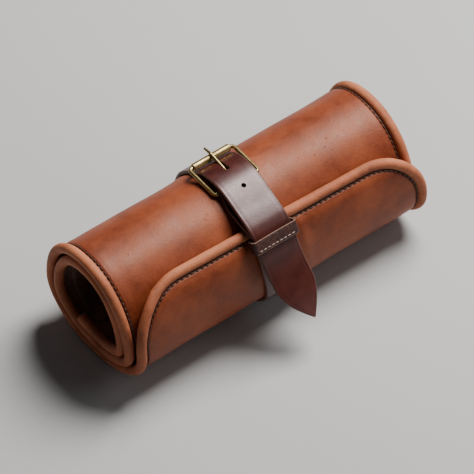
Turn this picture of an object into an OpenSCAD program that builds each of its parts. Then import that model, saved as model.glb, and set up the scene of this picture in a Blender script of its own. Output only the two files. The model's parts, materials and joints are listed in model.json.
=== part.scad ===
// A leather brush roll: a piped leather sheet with pockets, rolled up and held by a buckled strap.
// The roll lies along X, the strap goes round it, and the flap's edge and the strap's tip face -Y.
// The origin is the middle of the strap's flat underside, where the roll stands.

/* [Roll] */
// Length of the roll between the centres of its two end pipings
roll_length = 249; // [240:1:270]
// Half of the roll's depth, front to back, at the flap's edge
half_depth = 54; // [52:1:58]
// Height of the outer turn above the roll's widest line
upper_height = 67; // [64:1:70]
// Depth of the outer turn below the roll's widest line
lower_height = 31.3; // [29:0.1:33]
// Radial distance from one turn to the next
turn_pitch = 9; // [9:0.1:9.5]
// Length of the sheet when it is unrolled
sheet_length = 640; // [560:5:660]
// Angle round the roll at which the flap's edge lies, counted from the back over the top
flap_angle = 135; // [133:1:137]
// How far the flap's end is shifted to one side, because it was rolled slightly askew
flap_shift = 6; // [0:1:8]
// How much farther round the roll the flap's edge lies at one end than in the middle
flap_skew = 3; // [0:0.5:3]
// Radius of the flap's two rounded corners
corner_radius = 43; // [35:1:50]

/* [Leather] */
// Thickness of the outer leather
panel_thick = 2.2; // [1.8:0.1:2.2]
// Thickness of the lining
lining_thick = 1; // [0.8:0.1:1]
// Thickness of the pockets and of the cover over the brush tips
pocket_thick = 1.2; // [0.8:0.1:1.4]
// Outer radius of the piping
piping_radius = 3.8; // [3.7:0.1:4.2]
// Thickness of the piping's leather
piping_wall = 1.3; // [1:0.1:1.3]
// Number of brush pockets
pocket_count = 16; // [10:1:18]

/* [Strap] */
// Width of the strap
strap_width = 32; // [30:1:33]
// Thickness of the strap
strap_thick = 2.6; // [2.4:0.1:2.7]
// Length of the free end beyond the keeper
free_length = 56; // [45:1:60]
// Length of the pointed tip
point_length = 30; // [20:1:34]
// Diameter of the punched holes
hole_diameter = 3.6; // [3:0.1:4]
// Length of the keeper along the strap
keeper_width = 10; // [8:0.5:11]

/* [Buckle] */
// Distance from the heel bar to the roller
buckle_length = 31; // [30:0.5:31.5]
// Distance between the centres of the frame's two side bars
buckle_width = 38.5; // [37:0.5:40]
// Diameter of the frame's wire
wire_diameter = 3; // [2.8:0.1:3]
// Outer diameter of the roller
roller_diameter = 5.6; // [5:0.1:5.8]
// Diameter of the prong's wire
prong_diameter = 2.4; // [2.2:0.1:2.5]

/* [Hidden] */

tan_leather = [0.59, 0.30, 0.20];
piping_leather = [0.70, 0.38, 0.24];
strap_leather = [0.27, 0.12, 0.10];
lining_leather = [0.45, 0.24, 0.16];
thread_brown = [0.24, 0.14, 0.09];
antique_brass = [0.62, 0.50, 0.27];

// Section of the roll: two half superellipses, the upper one leaning back a little.
upper_power = 2.17;
lower_power = 1.8;
lean = 0.045;
bottom_height = 4.9;
flat_share = 0.96;
widest_height = bottom_height + flat_share * lower_height;
shift_fades = 150;
edge_dip = 2.2;
dip_length = 14;

// Layers of the sheet, as heights above its middle surface, outward positive.
sheet_thick = panel_thick + lining_thick;
outer_face = sheet_thick / 2;
lining_top = lining_thick - outer_face;
lining_face = -outer_face;
piping_lift = 0.6;
sheet_inset = 2.75;
mouth_gap = 0.1;
station_step = 8;

// Strap: heights above the sheet's middle surface.
layer_gap = 0.3;
half_strap = strap_thick / 2;
on_panel = outer_face + layer_gap + half_strap;
heel_angle = 97;
fold_end_angle = 118;
fold_thick = 1.2;
fold_height = outer_face + layer_gap + fold_thick / 2;
cut_angle = 152;
keeper_angle = 142;
keeper_wall = 1.3;
keeper_base = 2.7;
keeper_gap = 0.75;

// Buckle, in the plane of Y and Z.
heel_bar = [-4, 97.6];
buckle_drop = 2.6;
roller_bar = heel_bar + buckle_length * [cos(buckle_drop), -sin(buckle_drop)];
wire_radius = wire_diameter / 2;
running_gap = 0.08;
prong_radius = prong_diameter / 2;

function signed_power(v, p) = sign(v) * pow(abs(v), p);
function smooth(v) = let (c = max(0, min(1, v))) c * c * (3 - 2 * c);

// Middle surface of the sheet in the plane of Y and Z. Angles start at the flap's edge and grow
// inwards along the spiral: 90 is the top, 180 the front, 270 the bottom and 360 the back.
function upper_half(t) =
    let (
        across = half_depth - turn_pitch * (t - flap_angle) / 360,
        up = upper_height - turn_pitch * floor(t / 360),
        z = up * signed_power(sin(t), 2 / upper_power)
    ) [across * signed_power(cos(t), 2 / upper_power) + lean * z, widest_height + z];

function lower_half(t) =
    let (
        across = half_depth - turn_pitch * (t - flap_angle) / 360,
        down = lower_height - turn_pitch * floor((t - 180) / 360),
        floor_z = (1 - flat_share) * lower_height - down,
        z = down * signed_power(sin(t), 2 / lower_power)
    ) [across * signed_power(cos(t), 2 / lower_power), widest_height + max(z, floor_z)];

function section(t) = sin(t) >= 0 ? upper_half(t) : lower_half(t);
function along(t) = let (d = section(t + 0.5) - section(t - 0.5)) d / norm(d);
function outward(t) = let (d = along(t)) [d[1], -d[0]];

// Table of distance along the sheet against angle. It starts a little before the flap's edge.
table_step = 3;
table_lead = 9;
table_turns = 3;
arc_table = [
    for (
        t = flap_angle - table_lead, s = 0;
        t <= flap_angle + 360 * table_turns;
        s = s + norm(section(t + table_step) - section(t)), t = t + table_step
    ) [s, t]
];
flap_start = arc_table[table_lead / table_step][0];
function angle_at(s) = lookup(s + flap_start, arc_table);

// Distance round the roll by which the sheet is skewed at s and x.
skew_fades = 80;
function skew(s, x) = 2 * x / roll_length * flap_skew * (1 - smooth(s / skew_fades));

function side_shift(t) = flap_shift * max(0, 1 - (t - flap_angle) / shift_fades);
function dip(s) = edge_dip * (1 - smooth(s / dip_length));

// Point on the rolled sheet: s along it from the flap's edge, x across it, h above its middle.
function sheet_point(s, x, h) =
    let (t = angle_at(s + skew(s, x)), p = section(t) + outward(t) * (h - dip(s)))
    [x + side_shift(t), p[0], p[1]];

// Half of the sheet's width at s, inside the rounded corners, inset from the piping's centre.
function half_width(s, inset) =
    s >= corner_radius ? roll_length / 2 - inset
    : roll_length / 2 - corner_radius
        + sqrt(max(0, pow(corner_radius - inset, 2) - pow(corner_radius - s, 2)));

function stations(first, last) = [
    for (k = [0 : ceil((last - first) / station_step)]) min(last, first + k * station_step)
];
flap_stations = [0, 1, 3.5, 8, 14, 21, 29, 38];
first_plain = sheet_inset + 46;
sheet_stations = concat(
    [for (d = flap_stations) sheet_inset + d],
    stations(first_plain, sheet_length)
);

// Skin over a list of rings of equal count, with flat ends. The two halves of a ring are split
// along opposite diagonals, so that the faces of two layers that touch are split alike.
module skin(rings) {
    n = len(rings[0]);
    last = (len(rings) - 1) * n;
    sides = [
        for (i = [0 : len(rings) - 2], j = [0 : n - 1])
        let (a = i * n + j, b = i * n + (j + 1) % n)
        each j < n / 2 ? [[a, b, b + n], [a, b + n, a + n]] : [[a, b, a + n], [b, b + n, a + n]]
    ];
    start_cap = [for (j = [n - 1 : -1 : 0]) j];
    end_cap = [for (j = [0 : n - 1]) last + j];
    polyhedron([for (r = rings) each r], concat(sides, [start_cap, end_cap]));
}

// Layer of the rolled sheet between two heights, over a list of stations.
module sheet_layer(steps, low, high, inset) {
    skin([
        for (s = steps)
        let (w = half_width(s, inset))
        [
            sheet_point(s, -w, low), sheet_point(s, w, low),
            sheet_point(s, w, high), sheet_point(s, -w, high)
        ]
    ]);
}

// Patch on the inside of the rolled sheet, from x0 to x1.
module patch(steps, x0, x1, low, high) {
    skin([
        for (s = steps)
        [
            sheet_point(s, x0, low), sheet_point(s, x1, low),
            sheet_point(s, x1, high), sheet_point(s, x0, high)
        ]
    ]);
}

// Path along the sheet's border, inset from the piping's centre, as pairs of s and x.
function border(inset) =
    let (
        r = corner_radius - inset,
        side = roll_length / 2 - inset,
        centre = roll_length / 2 - corner_radius,
        runs = stations(corner_radius, sheet_length)
    ) concat(
        [for (k = [len(runs) - 1 : -1 : 1]) [runs[k], -side]],
        [for (a = [90 : -15 : 0]) [corner_radius - r * cos(a), -centre - r * sin(a)]],
        [for (a = [0 : 15 : 90]) [corner_radius - r * cos(a), centre + r * sin(a)]],
        [for (k = [1 : len(runs) - 1]) [runs[k], side]]
    );

// Sweep of a profile along a border path. The profile's first axis points into the sheet.
module border_sweep(path, lift, profile) {
    count = len(path);
    centres = [for (p = path) sheet_point(p[0], p[1], lift)];
    skin([
        for (i = [0 : count - 1])
        let (
            d = centres[min(count - 1, i + 1)] - centres[max(0, i - 1)],
            along_path = d / norm(d),
            n2 = outward(angle_at(path[i][0])),
            n3 = [0, n2[0], n2[1]],
            flat = n3 - along_path * (n3 * along_path),
            up = flat / norm(flat),
            inward = cross(along_path, up)
        )
        [for (q = profile) centres[i] + inward * q[0] + up * q[1]]
    ]);
}

module outer_panel() {
    color(tan_leather) sheet_layer(sheet_stations, lining_top, outer_face, sheet_inset);
}

module lining_panel() {
    color(lining_leather) sheet_layer(sheet_stations, lining_face, lining_top, sheet_inset);
}

// The piping is a strip folded round a cord, with the sheet's edge held in its mouth.
module edge_piping() {
    inner = piping_radius - piping_wall;
    upper_lip = outer_face + mouth_gap - piping_lift;
    lower_lip = outer_face + mouth_gap + piping_lift;
    outer_from = asin(upper_lip / piping_radius);
    outer_to = 360 - asin(lower_lip / piping_radius);
    inner_from = asin(upper_lip / inner);
    inner_to = 360 - asin(lower_lip / inner);
    steps = 8;
    profile = concat(
        [
            for (k = [0 : steps])
            let (a = inner_to + (inner_from - inner_to) * k / steps)
            inner * [cos(a), sin(a)]
        ],
        [
            for (k = [0 : steps])
            let (a = outer_from + (outer_to - outer_from) * k / steps)
            piping_radius * [cos(a), sin(a)]
        ]
    );
    color(piping_leather) border_sweep(border(0), piping_lift, profile);
}

module piping_cord() {
    r = piping_radius - piping_wall - 0.3;
    color("wheat") border_sweep(
        border(0), piping_lift, [for (a = [30 : 60 : 330]) r * [cos(a), sin(a)]]
    );
}

module edge_stitching() {
    r = 0.45;
    color(thread_brown) border_sweep(
        border(piping_radius + 2.6), outer_face + r, [for (a = [45 : 90 : 315]) r * [cos(a), sin(a)]]
    );
}

// Straight run of thread across the sheet.
module thread_across(s, x0, x1, h, r) {
    translate(sheet_point(s, x0, h)) rotate([0, 90, 0]) cylinder(h = x1 - x0, r = r, $fn = 16);
}

module inner_end_stitching() {
    side = roll_length / 2 - 12;
    color(thread_brown) thread_across(sheet_length - 5, -side, side, lining_face - 0.45, 0.45);
}

pocket_start = first_plain + 5 * station_step;
pocket_end = first_plain + station_step * (floor((sheet_length - first_plain) / station_step) - 3);
pocket_foot = -roll_length / 2 + 10;
pocket_mouth = 18;
pocket_height = lining_face - pocket_thick;

module pocket_panel() {
    color(lining_leather)
    patch(stations(pocket_start, pocket_end), pocket_foot, pocket_mouth, pocket_height, lining_face);
}

module pocket_seams() {
    r = 0.4;
    spacing = (pocket_end - pocket_start - 10) / pocket_count;
    color(thread_brown)
    for (k = [0 : pocket_count]) {
        thread_across(
            pocket_start + 5 + k * spacing, pocket_foot + 3, pocket_mouth - 3, pocket_height - r - 0.3, r
        );
    }
}

cover_edge = roll_length / 2 - 10;
cover_fold = pocket_mouth + 10;

module tip_cover() {
    color(lining_leather)
    patch(stations(pocket_start, pocket_end), cover_fold, cover_edge, pocket_height, lining_face);
}

module tip_cover_seam() {
    r = 0.4;
    steps = stations(pocket_start, pocket_end);
    x = cover_edge - 4;
    h = pocket_height - 0.15;
    color(thread_brown) patch(steps, x - r, x + r, h - 2 * r, h);
}

// Height of the strap's middle over the step from the flap's edge down to the turn beneath it.
function bridge(u) = 9.26 * smooth((u - 108) / 27);

// Spiral angle of the outermost surface under the strap, counted on from the heel bar.
function under_strap(u) = u < flap_angle ? u + 360 : u > flap_angle + 360 ? u - 360 : u;

function strap_point(u, h) =
    let (
        t = under_strap(u),
        wrapped = u > flap_angle ? u - 360 : u,
        rise = wrapped <= flap_angle && wrapped > 0 ? bridge(wrapped) : 0
    ) section(t) + outward(t) * (h + rise);

// Lower layer: over the heel bar, over the flap's edge, through the keeper and onto the flap.
lower_heights = [
    [heel_angle, 7.7], [104, 5.9], [110, 4.8], [fold_end_angle, 4.5], [126, 4.4],
    [131, 5.4], [flap_angle, 6], [keeper_angle - 4, 6], [keeper_angle, 5.9], [cut_angle, 5.9],
    [157, 4.7], [163, 3.6], [169, on_panel],
    [378, on_panel], [396, on_panel + 0.6], [410, on_panel + 2]
];
// Upper layer: under the roller, over the heel bar and through the keeper.
upper_heights = [
    [457, 10.2], [464, 10], [470, 10.4], [474, 9.9], [478, 9.1], [486, 8.1], [491, 8.6],
    [495, 9.1], [498, 9.1], [502, 9], [360 + cut_angle, 9]
];
// Sideways place of the strap's middle: it runs a little askew over the front.
strap_sides = [
    [heel_angle, -0.8], [104, -1.8], [112, -3], [124, -3], [135, -1.4], [150, -0.9],
    [180, 2.5], [205, 3.2], [240, 0], [400, 0],
    [457, -0.5], [480, -1.3], [495, -1.6], [512, -0.6]
];

function strap_side(u) = lookup(u, strap_sides);

// The lower layer is pared down where it goes over the heel bar.
pared_thick = 1.6;
function layer_thick(u) = pared_thick + (strap_thick - pared_thick) * smooth((u - 100) / 14);

// A strap station is [point in Y and Z, middle in X, half width, thickness].
function on_roll(angles, heights) = [
    for (u = angles)
    [strap_point(u, lookup(u, heights)), strap_side(u), strap_width / 2, layer_thick(u)]
];

bend_thick = 1.4;
fold_radius = wire_radius + 0.3 + bend_thick / 2;

fold_stations = concat(
    [
        for (u = [fold_end_angle : -4 : heel_angle + 5])
        let (p = strap_point(u, fold_height) - outward(under_strap(u)) * bridge(u))
        [p, strap_side(u), strap_width / 2, fold_thick]
    ],
    [
        for (a = [-78 : 28 : 90])
        let (p = heel_bar + fold_radius * [cos(a), sin(a)])
        [p, strap_side(heel_angle), strap_width / 2, bend_thick]
    ]
);

// Under the roller the strap follows a smooth curve between the roll's back and the heel bar.
dip_slope = [-3.4, 3.8];
dip_normal = [-dip_slope[1], dip_slope[0]] / norm(dip_slope);
roller_dip = roller_bar + dip_normal * (roller_diameter / 2 + 0.45 + half_strap);
approach = strap_point(392, on_panel + 0.4);
hump = strap_point(457, lookup(457, upper_heights));
function curve(p0, p1, p2, p3, v) =
    p0 * pow(1 - v, 3) + 3 * p1 * v * pow(1 - v, 2) + 3 * p2 * v * v * (1 - v) + p3 * v * v * v;
function climb(v) = curve(approach, approach + [-2, 9], roller_dip + [5.5, -4.2], roller_dip, v);
function over(v) = curve(roller_dip, roller_dip + 1.9 * dip_slope, hump + [13, 0.9], hump, v);

climb_stations = [for (v = [0.2 : 0.2 : 0.81]) [climb(v), 0, strap_width / 2, strap_thick]];
over_stations = [
    for (v = [0 : 0.1 : 0.91]) [over(v), strap_side(457) * v, strap_width / 2, strap_thick]
];

// The underside is flat between these two distances from the middle, and then starts to curve.
flat_half = 11;
flat_end = 12.5;
strap_stations = concat(
    fold_stations,
    on_roll([for (u = [heel_angle + 2 : 4 : 131]) u], lower_heights),
    on_roll([134, 137, 141, 145, 149, 154, 160, 168, 178, 190, 203, 216, 228, 239, 249], lower_heights),
    [
        for (y = [-flat_end, -flat_half, flat_half, flat_end])
        [[y, half_strap], 0, strap_width / 2, strap_thick]
    ],
    on_roll([291, 301, 311, 322, 336, 350, 362, 372, 382, 392], lower_heights),
    climb_stations,
    over_stations,
    on_roll([457, 461, 465, 470, 475, 480, 485, 490, 495, 498, 502, 507, 360 + cut_angle], upper_heights)
);

// Strap of leather along a list of stations, flat across its width.
module ribbon(list) {
    count = len(list);
    skin([
        for (i = [0 : count - 1])
        let (
            d = list[min(count - 1, i + 1)][0] - list[max(0, i - 1)][0],
            n = [d[1], -d[0]] / norm(d) * list[i][3] / 2,
            p = list[i][0],
            x = list[i][1],
            w = list[i][2]
        )
        [
            [x - w, p[0] - n[0], p[1] - n[1]], [x + w, p[0] - n[0], p[1] - n[1]],
            [x + w, p[0] + n[0], p[1] + n[1]], [x - w, p[0] + n[0], p[1] + n[1]]
        ]
    ]);
}

// Slot of the prong in the fold, and its hole in the upper layer, as distances from the heel bar.
fold_slot = [-1.5, 6];
fold_slot_width = 4;
prong_hole = [10.5, 23.5];
spare_hole_angle = 463;
spare_hole_lean = 10;

module slot_across(run, width, low, high) {
    hull() for (y = run)
        translate([0, heel_bar[0] + y, heel_bar[1] + low]) cylinder(h = high - low, d = width, $fn = 24);
}

module strap() {
    spare = strap_point(spare_hole_angle, lookup(spare_hole_angle, upper_heights));
    color(strap_leather) difference() {
        ribbon(strap_stations);
        slot_across(fold_slot, fold_slot_width, -4, 2.9);
        slot_across(prong_hole, hole_diameter, -4, 8);
        translate([0, spare[0], spare[1]]) rotate([spare_hole_lean, 0, 0])
            translate([0, 0, -half_strap - 0.2])
            cylinder(h = strap_thick + 2, d = hole_diameter, $fn = 24);
    }
}

// Stitch line across the strap at a strap angle.
module strap_seam(u, h, width, r) {
    p = strap_point(u, h);
    translate([strap_side(u) - width / 2, p[0], p[1]]) rotate([0, 90, 0])
        cylinder(h = width, r = r, $fn = 16);
}

module fold_stitching() {
    color(thread_brown) strap_seam(fold_end_angle - 3, 3.15, strap_width - 8, 0.35);
}

module anchor_stitching() {
    color(thread_brown) for (u = [338, 358]) {
        strap_seam(u, outer_face + layer_gap / 2, strap_width - 6, 0.5);
    }
}

// The free end leaves the keeper along the roll and then stands a little away from it.
cut_point = strap_point(360 + cut_angle, 9);
free_side = 5.1;
cut_side = strap_side(360 + cut_angle);
free_start = along(cut_angle);
function point_width(d) = strap_width / 2 * (1 - pow(1 - min(1, d / point_length), 1.7));

function free_curve(v) =
    let (
        a = cut_point + free_start * 0.15,
        b = a + free_start * free_length * 0.35,
        c = a + free_length * [-0.36, -0.58],
        e = a + free_length * [-0.62, -0.77]
    ) curve(a, b, c, e, v);

module strap_free_end() {
    steps = [0, 0.1, 0.2, 0.3, 0.4, 0.5, 0.57, 0.64, 0.71, 0.78, 0.84, 0.9, 0.95, 0.98, 0.995];
    color(strap_leather) ribbon([
        for (v = steps)
        [free_curve(v), cut_side + free_side * v, point_width((1 - v) * free_length), strap_thick]
    ]);
}

// Frame of the keeper: X across, Y along the strap, Z away from the roll.
keeper_origin = section(keeper_angle);
keeper_along = along(keeper_angle);
keeper_turn = atan2(-keeper_along[1], -keeper_along[0]);
keeper_side = -1;
keeper_inner = strap_width + 3.4;
keeper_height = 2 * strap_thick + layer_gap + 2 * keeper_gap + 2 * keeper_wall;

module at_keeper() {
    translate([keeper_side, keeper_origin[0], keeper_origin[1]]) rotate([keeper_turn, 0, 0])
        translate([0, 0, keeper_base]) children();
}

module keeper_outline(grow) {
    r = 1.2 + grow;
    w = keeper_inner / 2 + grow;
    h = keeper_height - 2 * keeper_wall + 2 * grow;
    translate([0, keeper_height / 2]) hull() for (x = [-1, 1], y = [-1, 1])
        translate([x * (w - r), y * (h / 2 - r)]) circle(r = r, $fn = 24);
}

module strap_keeper() {
    color(strap_leather) at_keeper() rotate([90, 0, 0])
        linear_extrude(height = keeper_width, center = true) difference() {
            keeper_outline(keeper_wall);
            keeper_outline(0);
        }
}

module keeper_stitching() {
    r = 0.35;
    color(thread_brown) at_keeper()
        translate([-keeper_inner / 2 + 1.5, -keeper_width / 2 + 2, keeper_height + r])
        rotate([0, 90, 0]) cylinder(h = keeper_inner - 3, r = r, $fn = 16);
}

// Frame of the buckle: X across, Y from the heel bar to the roller, Z away from the roll.
module at_buckle() {
    translate([0, heel_bar[0], heel_bar[1]]) rotate([-buckle_drop, 0, 0]) children();
}

frame_corner = 3;

module wire_side(side) {
    translate([side * buckle_width / 2, frame_corner, 0]) rotate([-90, 0, 0])
        cylinder(h = buckle_length - 2 * frame_corner, r = wire_radius);
}

module wire_bar(y) {
    translate([frame_corner - buckle_width / 2, y, 0]) rotate([0, 90, 0])
        cylinder(h = buckle_width - 2 * frame_corner, r = wire_radius);
}

module wire_corner(x, y, turn) {
    translate([x, y, 0]) rotate([0, 0, turn]) rotate_extrude(angle = 90)
        translate([frame_corner, 0]) circle(r = wire_radius);
}

module buckle_frame() {
    x = buckle_width / 2 - frame_corner;
    y = buckle_length - frame_corner;
    color(antique_brass) at_buckle() {
        wire_side(-1);
        wire_side(1);
        wire_bar(0);
        wire_bar(buckle_length);
        wire_corner(x, y, 0);
        wire_corner(-x, y, 90);
        wire_corner(-x, frame_corner, 180);
        wire_corner(x, frame_corner, 270);
    }
}

roller_length = buckle_width - 2 * frame_corner - 0.6;

module buckle_roller() {
    color(antique_brass) at_buckle() translate([-roller_length / 2, buckle_length, 0]) rotate([0, 90, 0])
        difference() {
            cylinder(h = roller_length, d = roller_diameter);
            translate([0, 0, -1]) cylinder(h = roller_length + 2, r = wire_radius + running_gap);
        }
}

// The prong curls round the heel bar, passes up through the strap and rests on the roller.
prong_rise = roller_diameter / 2 + prong_radius + 0.05;
prong_tip = 8;

prong_slope = atan2(prong_rise, buckle_length);
tip_bend = -14;

module prong_shaft() {
    length = norm([buckle_length, prong_rise]);
    rotate([prong_slope, 0, 0]) {
        rotate([-90, 0, 0]) cylinder(h = length, r = prong_radius);
        translate([0, length, 0]) sphere(r = prong_radius, $fn = 24);
        translate([0, length, 0]) rotate([tip_bend - 90, 0, 0])
            cylinder(h = prong_tip, r1 = prong_radius, r2 = 0.7 * prong_radius, $fn = 24);
    }
}

module buckle_prong() {
    curl = 3;
    bore = wire_radius + running_gap;
    color(antique_brass) at_buckle() difference() {
        union() {
            translate([-curl / 2, 0, 0]) rotate([0, 90, 0]) cylinder(h = curl, r = bore + 1);
            prong_shaft();
        }
        translate([-curl, 0, 0]) rotate([0, 90, 0]) cylinder(h = 2 * curl, r = bore);
    }
}

outer_panel();
lining_panel();
edge_piping();
piping_cord();
edge_stitching();
inner_end_stitching();
pocket_panel();
pocket_seams();
tip_cover();
tip_cover_seam();
strap();
fold_stitching();
anchor_stitching();
strap_free_end();
strap_keeper();
keeper_stitching();
buckle_frame();
buckle_roller();
buckle_prong();
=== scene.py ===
"""Looks of a leather brush roll: piped and stitched sheet, buckled strap, brass roller buckle."""

import json
import math
import random

import bmesh
import bpy
import numpy as np
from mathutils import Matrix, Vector, noise


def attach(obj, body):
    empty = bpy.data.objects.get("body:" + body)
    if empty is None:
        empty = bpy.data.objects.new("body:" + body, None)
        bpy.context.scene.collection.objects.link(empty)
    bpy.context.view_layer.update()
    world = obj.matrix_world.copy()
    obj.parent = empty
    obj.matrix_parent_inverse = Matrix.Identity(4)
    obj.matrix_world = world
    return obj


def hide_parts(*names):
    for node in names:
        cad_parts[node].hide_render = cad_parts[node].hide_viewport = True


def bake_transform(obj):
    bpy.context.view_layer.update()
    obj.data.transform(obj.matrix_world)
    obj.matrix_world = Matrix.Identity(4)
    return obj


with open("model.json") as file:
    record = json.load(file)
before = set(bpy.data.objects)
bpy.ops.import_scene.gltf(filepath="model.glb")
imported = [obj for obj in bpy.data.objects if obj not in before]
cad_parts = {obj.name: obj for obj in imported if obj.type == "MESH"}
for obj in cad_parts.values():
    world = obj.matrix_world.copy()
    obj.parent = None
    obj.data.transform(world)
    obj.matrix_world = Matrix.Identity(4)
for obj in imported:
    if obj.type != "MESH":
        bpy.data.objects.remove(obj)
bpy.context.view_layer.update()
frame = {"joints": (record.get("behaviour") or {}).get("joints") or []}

MM = 0.001
RNG = random.Random(7)

# ---------------------------------------------------------------------------------------------
# Driving sizes, in millimetres, as the CAD model has them
# ---------------------------------------------------------------------------------------------

ROLL_LENGTH = 249.0
HALF_DEPTH = 54.0
UPPER_HEIGHT = 67.0
LOWER_HEIGHT = 31.3
TURN_PITCH = 9.0
SHEET_LENGTH = 640.0
FLAP_ANGLE = 135.0
FLAP_SHIFT = 6.0
FLAP_SKEW = 3.0
SKEW_FADES = 80.0
SHIFT_FADES = 150.0
CORNER_RADIUS = 43.0
UPPER_POWER = 2.17
LOWER_POWER = 1.8
LEAN = 0.045
BOTTOM_HEIGHT = 4.9
FLAT_SHARE = 0.96
EDGE_DIP = 2.2
DIP_LENGTH = 14.0

PANEL_OUT = 1.6
LINING_TOP = -0.6
LINING_IN = -1.6
POCKET_THICK = 1.2
PIPING_RADIUS = 3.8
PIPING_LIFT = 0.6
SHEET_INSET = 2.75
STITCH_INSET = 5.3

STRAP_WIDTH = 32.0
STRAP_THICK = 2.6
POINT_LENGTH = 30.0
FREE_LENGTH = 56.0
CUT_ANGLE = 152.0
FOLD_SEAM_ANGLE = 115
ANCHOR_ANGLES = (338, 358)
SPARE_HOLE_ANGLE = 463
HOLE_DIAMETER = 3.6
HEEL_SLOT = (-1.5, 6.0)
HEEL_SLOT_WIDTH = 4.0
PRONG_SLOT = (12.0, 23.5)
STRAP_STEP = 0.8
FOLD_STEP = 0.5
KEEPER_ANGLE = 142.0
KEEPER_WIDTH = 10.0
KEEPER_WALL = 1.3
KEEPER_BASE = 2.7
KEEPER_SIDE = -1.0
KEEPER_INNER = STRAP_WIDTH + 3.4
KEEPER_INNER_HEIGHT = 7.0

BUCKLE_WIDTH = 38.5
FRAME_CORNER = 3.0
WIRE_RADIUS = 1.5
ROLLER_RADIUS = 2.8
PRONG_RADIUS = 1.2
PRONG_TIP = 8.0

JOINTS = {j["name"]: j for j in frame["joints"]}
HEEL_BAR = np.array(JOINTS["buckle_tilt"]["pos_m"][1:]) / MM
ROLLER_BAR = np.array(JOINTS["roller_spin"]["pos_m"][1:]) / MM


def smooth(v):
    c = np.clip(v, 0, 1)
    return c * c * (3 - 2 * c)


def signed_power(v, p):
    return np.sign(v) * np.abs(v) ** p


def soften(points, sigma):
    """Gaussian smoothing of a row of evenly spaced points, with its two ends kept."""
    reach = int(3 * sigma) + 1
    weights = np.exp(-0.5 * (np.arange(-reach, reach + 1) / sigma) ** 2)
    weights /= weights.sum()
    first = 2 * points[0] - points[reach:0:-1]
    last = 2 * points[-1] - points[-2 : -reach - 2 : -1]
    padded = np.concatenate([first, points, last])
    return np.stack([np.convolve(padded[:, k], weights, "valid") for k in range(points.shape[1])], 1)


def resample(points, step):
    """The same row of points, evenly spaced."""
    gaps = np.linalg.norm(np.diff(points[:, :2], axis=0), axis=1)
    run = np.concatenate([[0], np.cumsum(gaps)])
    even = np.linspace(0, run[-1], int(run[-1] / step) + 1)
    return np.stack([np.interp(even, run, points[:, k]) for k in range(points.shape[1])], 1)


# ---------------------------------------------------------------------------------------------
# The rolled sheet: s along it from the flap's edge, x across it, h above its middle surface
# ---------------------------------------------------------------------------------------------


def section(t):
    """Middle surface of the sheet in Y and Z at an angle in degrees: 90 top, 180 front, 270 bottom."""
    t = np.asarray(t, float)
    c, s = np.cos(np.radians(t)), np.sin(np.radians(t))
    across = HALF_DEPTH - TURN_PITCH * (t - FLAP_ANGLE) / 360
    up = UPPER_HEIGHT - TURN_PITCH * np.floor(t / 360)
    down = LOWER_HEIGHT - TURN_PITCH * np.floor((t - 180) / 360)
    z_up = up * signed_power(s, 2 / UPPER_POWER)
    z_down = np.maximum(down * signed_power(s, 2 / LOWER_POWER), (1 - FLAT_SHARE) * LOWER_HEIGHT - down)
    z = np.where(s >= 0, z_up, z_down)
    power = np.where(s >= 0, 2 / UPPER_POWER, 2 / LOWER_POWER)
    y = across * signed_power(c, power) + LEAN * np.maximum(z, 0)
    return np.stack([y, BOTTOM_HEIGHT + FLAT_SHARE * LOWER_HEIGHT + z], -1)


def spiral_table():
    """Angle, place and outward normal at each whole millimetre along the sheet."""
    t = np.arange(FLAP_ANGLE - 9, FLAP_ANGLE + 360 * 3, 0.25)
    p = section(t)
    run = np.concatenate([[0], np.cumsum(np.linalg.norm(np.diff(p, axis=0), axis=1))])
    run -= np.interp(FLAP_ANGLE, t, run)
    s = np.arange(-6, SHEET_LENGTH + 20, 1.0)
    angle = np.interp(s, run, t)
    place = soften(section(angle), 3.0)
    d = np.gradient(place, axis=0)
    d /= np.linalg.norm(d, axis=1)[:, None]
    normal = soften(np.stack([d[:, 1], -d[:, 0]], 1), 2.0)
    return s, angle, place, normal / np.linalg.norm(normal, axis=1)[:, None]


TABLE_S, TABLE_ANGLE, TABLE_PLACE, TABLE_NORMAL = spiral_table()


def on_table(values, s):
    return np.stack([np.interp(s, TABLE_S, values[:, k]) for k in range(values.shape[1])], -1)


def sheet_points(s, x, h):
    """Points of the rolled sheet, in millimetres. s, x and h are arrays of one shape."""
    s, x, h = np.broadcast_arrays(np.asarray(s, float), x, h)
    at = s + 2 * x / ROLL_LENGTH * FLAP_SKEW * (1 - smooth(s / SKEW_FADES))
    t = np.interp(at, TABLE_S, TABLE_ANGLE)
    p = on_table(TABLE_PLACE, at)
    n = on_table(TABLE_NORMAL, at)
    lift = h - EDGE_DIP * (1 - smooth(s / DIP_LENGTH))
    shift = FLAP_SHIFT * np.maximum(0, 1 - (t - FLAP_ANGLE) / SHIFT_FADES)
    q = p + n * lift[..., None]
    return np.stack([x + shift, q[..., 0], q[..., 1]], -1)


def half_width(s, inset):
    """Half of the sheet's width at s, inset from the centre of its piping."""
    r = CORNER_RADIUS - inset
    rounded = ROLL_LENGTH / 2 - CORNER_RADIUS + np.sqrt(np.maximum(0, r * r - (CORNER_RADIUS - s) ** 2))
    return np.where(s >= CORNER_RADIUS, ROLL_LENGTH / 2 - inset, rounded)


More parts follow.
